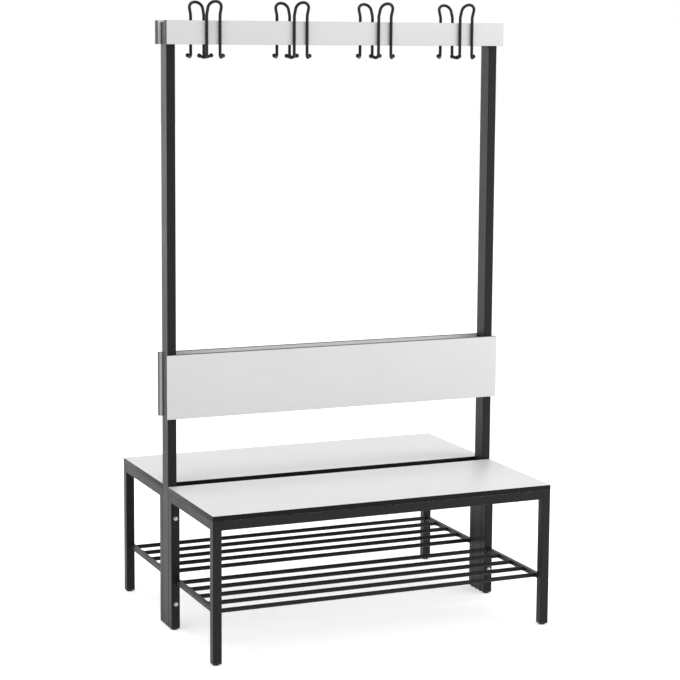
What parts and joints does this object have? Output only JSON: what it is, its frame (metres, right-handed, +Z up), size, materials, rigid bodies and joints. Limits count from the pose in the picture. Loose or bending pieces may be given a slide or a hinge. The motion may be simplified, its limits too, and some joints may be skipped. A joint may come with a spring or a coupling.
{
  "type": "double-sided cloakroom bench",
  "caption": "Back-to-back cloakroom bench of square steel tube with pale seat boards, backrests, shoe racks of round rods and tall posts that carry rails of black wire coat hooks.",
  "frame": {"origin": "on the floor, under the middle of the bench", "axes": "+X along the bench, -Y out from the front seat, +Z up"},
  "size_m": [1.015, 0.78, 1.7342],
  "materials": {
    "frame_steel": "fine-textured powder coat, satin",
    "laminate": "pale laminate faces, satin, with a dark edge",
    "hook_wire": "black plastic-coated wire, semi-gloss",
    "black_plastic": "moulded, matt",
    "zinc": "bright zinc plate"
  },
  "bodies": {
    "root": {"backrest_tabs": "frame_steel", "bench_bolts": "zinc", "bench_nuts": "zinc", "bench_washers": "zinc", "board_screws": "zinc", "front_backrest": "laminate", "front_foot_caps": "black_plastic", "front_hook_1": "hook_wire", "front_hook_2": "hook_wire", "front_hook_3": "hook_wire", "front_hook_4": "hook_wire", "front_hook_rail": "laminate", "front_inner_left_leg": "frame_steel", "front_inner_right_leg": "frame_steel", "front_inner_seat_rail": "frame_steel", "front_left_end_rail": "frame_steel", "front_outer_left_leg": "frame_steel", "front_outer_right_leg": "frame_steel", "front_outer_seat_rail": "frame_steel", "front_rack_left_bar": "frame_steel", "front_rack_right_bar": "frame_steel", "front_rack_rod_1": "frame_steel", "front_rack_rod_2": "frame_steel", "front_rack_rod_3": "frame_steel", "front_rack_rod_4": "frame_steel", "front_rack_rod_5": "frame_steel", "front_right_end_rail": "frame_steel", "front_seat_board": "laminate", "front_seat_screws": "zinc", "hook_nuts": "zinc", "left_upright": "frame_steel", "rail_tabs": "frame_steel", "rear_backrest": "laminate", "rear_foot_caps": "black_plastic", "rear_hook_1": "hook_wire", "rear_hook_2": "hook_wire", "rear_hook_3": "hook_wire", "rear_hook_4": "hook_wire", "rear_hook_rail": "laminate", "rear_inner_left_leg": "frame_steel", "rear_inner_right_leg": "frame_steel", "rear_inner_seat_rail": "frame_steel", "rear_left_end_rail": "frame_steel", "rear_outer_left_leg": "frame_steel", "rear_outer_right_leg": "frame_steel", "rear_outer_seat_rail": "frame_steel", "rear_rack_left_bar": "frame_steel", "rear_rack_right_bar": "frame_steel", "rear_rack_rod_1": "frame_steel", "rear_rack_rod_2": "frame_steel", "rear_rack_rod_3": "frame_steel", "rear_rack_rod_4": "frame_steel", "rear_rack_rod_5": "frame_steel", "rear_right_end_rail": "frame_steel", "rear_seat_board": "laminate", "rear_seat_screws": "zinc", "right_upright": "frame_steel", "upright_foot_caps": "black_plastic", "upright_top_caps": "black_plastic"}
  },
  "joints": []
}
